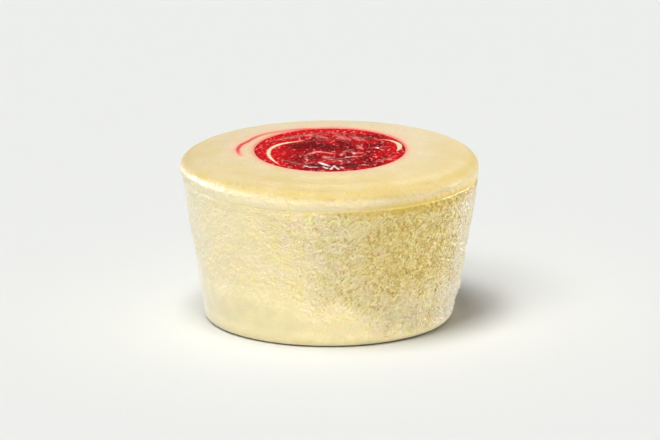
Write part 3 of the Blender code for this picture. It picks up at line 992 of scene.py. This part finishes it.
# %% The room
SKY = 0.12
SKY_COLOUR = (0.87, 0.98, 1.25, 1.0)
MIRRORED_COLOUR = (1.0, 0.86, 0.66, 1.0)
MIRRORED_SKY = 0.03
MIRRORED_HORIZON = 0.8
world = bpy.data.worlds.new("studio")
world.use_nodes = True
tree = world.node_tree
tree.nodes.clear()
rays = add_node(tree, "ShaderNodeLightPath")
mirror_ray = rays.outputs["Is Glossy Ray"]
outwards = add_node(tree, "ShaderNodeTexCoord", out="Generated")
upward = add_node(tree, "ShaderNodeSeparateXYZ", {0: outwards}, out="Z")
mirrored = add_node(tree, RANGE, {0: upward, 1: 0.0, 2: 0.08, 3: MIRRORED_HORIZON, 4: MIRRORED_SKY}, out=0)
strength = add_node(tree, MIX, {0: mirror_ray, 2: SKY, 3: mirrored}, out=0)
tone = add_node(tree, MIX, {0: mirror_ray, 6: SKY_COLOUR, 7: MIRRORED_COLOUR}, out=2, data_type="RGBA")
fill = add_node(tree, "ShaderNodeBackground", {"Color": tone, "Strength": strength}, out=0)
seen = add_node(tree, "ShaderNodeBackground", {"Color": hex_colour("#F1F2ED"), "Strength": 1.0}, out=0)
mixed = add_node(tree, "ShaderNodeMixShader", {0: rays.outputs["Is Camera Ray"], 1: fill, 2: seen}, out=0)
add_node(tree, "ShaderNodeOutputWorld", {"Surface": mixed})
bpy.context.scene.world = world

# %% [markdown]
# ### Lamps
# Two soft lamps light the set: one almost overhead, which gives most of the floor's light,
# and a key lower at the front left. Together they cast the short, dark shadow on the
# right. Three low lamps light only the cake, as if cut off from the table by a flag.

# %% Aiming and adding a lamp
def aim(thing, place, target):
    thing.location = place
    thing.rotation_euler = (Vector(target) - Vector(place)).to_track_quat("-Z", "Y").to_euler()


def direction(azimuth, elevation):
    """A unit vector from an azimuth and an elevation in degrees."""
    turn, rise = math.radians(azimuth), math.radians(elevation)
    return Vector((math.cos(turn) * math.cos(rise), math.sin(turn) * math.cos(rise), math.sin(rise)))


def add_lamp(name, kind, azimuth, elevation, distance=1.0, **settings):
    lamp = bpy.data.objects.new(name, bpy.data.lights.new(name, kind))
    for key, value in settings.items():
        setattr(lamp.data, key, value)
    target = Vector((0.0, 0.0, 0.03))
    aim(lamp, target + distance * direction(azimuth, elevation), target)
    bpy.context.scene.collection.objects.link(lamp)
    return lamp


def add_soft_lamp(name, azimuth, elevation, wide, strength):
    """A lamp as seen from far away, wide degrees across, that no surface mirrors."""
    lamp = add_lamp(name, "SUN", azimuth, elevation, angle=math.radians(wide), energy=strength * math.pi)
    lamp.visible_glossy = False
    return lamp


# %% The lamps that light the set
# Azimuth, elevation and spread in degrees, and share of the floor's light.
FLOOR_LIGHT = 1.12
SOFTBOXES = {"overhead": (231, 79, 24, 0.69), "key": (232, 55, 28, 0.31)}
for name, (azimuth, elevation, wide, share) in SOFTBOXES.items():
    strength = share * (FLOOR_LIGHT - SKY) / math.sin(math.radians(elevation))
    add_soft_lamp(name, azimuth, elevation, wide, strength)

# %% [markdown]
# ### Low lamps
# One rakes across the front and brings out the crumb, one fills from the right, and one
# edges the cake from behind. Light linking keeps them off the floor.

# %% The lamps that light only the cake
# Azimuth, elevation and spread in degrees, and strength.
FLAGGED = {"rake": (244, 22, 12, 0.27), "fill": (311, 8, 70, 0.61), "rim": (28, 4, 24, 0.88)}
cake_only = bpy.data.collections.new("cake_only")
for piece in (body, top, sauce):
    cake_only.objects.link(piece)
for name, (azimuth, elevation, wide, strength) in FLAGGED.items():
    lamp = add_soft_lamp(name, azimuth, elevation, wide, strength)
    lamp.light_linking.receiver_collection = cake_only

# %% [markdown]
# ### Highlights
# These lamps are only mirrored: one runs along the left of the lip, one sparkles in the
# sauce, and one catches the moist crumbs at the right.

# %% The lamps that are only mirrored
# Azimuth and elevation in degrees, then distance, width, height and power.
MIRRORED_LAMPS = {"strip": (153, 8, 0.6, 0.22, 0.1, 4.5), "spark": (90, 40, 0.8, 0.09, 0.05, 0.35),
                  "side": (20, 3, 0.8, 0.3, 0.1, 3.2)}
for name, (azimuth, elevation, distance, wide, high, power) in MIRRORED_LAMPS.items():
    lamp = add_lamp(name, "AREA", azimuth, elevation, distance, shape="RECTANGLE", size=wide, size_y=high,
                    energy=power)
    lamp.visible_diffuse = False

# %% [markdown]
# ### Camera
# The top of the cake is seen as a flat oval, whose depth against its width gives the
# camera's height, about 15 degrees. The sides hardly narrow with distance, so the lens is
# long. With a metre and a third between them, the lip spans 300 pixels of the picture.

# %% The photograph's camera
CAMERA_ELEVATION = math.radians(14.89)
CAMERA_DISTANCE = 1.354
AIM = Vector((0.18 * MM, 0.0, 22.79 * MM))
PIXELS_WIDE = 660
LIP_PIXELS = 300 * 0.9948
FOCAL_PIXELS = LIP_PIXELS / (2 * LIP_RADIUS) * CAMERA_DISTANCE
camera = bpy.data.objects.new("camera", bpy.data.cameras.new("camera"))
camera.data.sensor_width = 36.0
camera.data.lens = camera.data.sensor_width * FOCAL_PIXELS / PIXELS_WIDE
camera.data.clip_end = 100.0
back = Vector((0.0, -math.cos(CAMERA_ELEVATION), math.sin(CAMERA_ELEVATION)))
aim(camera, AIM + back * CAMERA_DISTANCE, AIM)
bpy.context.scene.collection.objects.link(camera)
bpy.context.scene.camera = camera
bpy.context.scene.view_settings.view_transform = "Standard"
print("lens", round(camera.data.lens), "mm at", CAMERA_DISTANCE, "m")

# %% [markdown]
# ## Putting the pieces on the model
# Each fine piece stands in for one plain solid and keeps its form, so all three ride on
# the cake's one body.

# %% Riding and replacing
for piece, node, slot in ((body, "cheesecake_body", "baked_crumb"), (top, "smooth_top", "set_cream"),
                          (sauce, "berry_sauce", "berry_sauce")):
    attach(piece, "root")
    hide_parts(node)

# %% The dressed cake's size
low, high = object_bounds()
print("dressed", [round(v / MM, 1) for v in high - low], "mm")
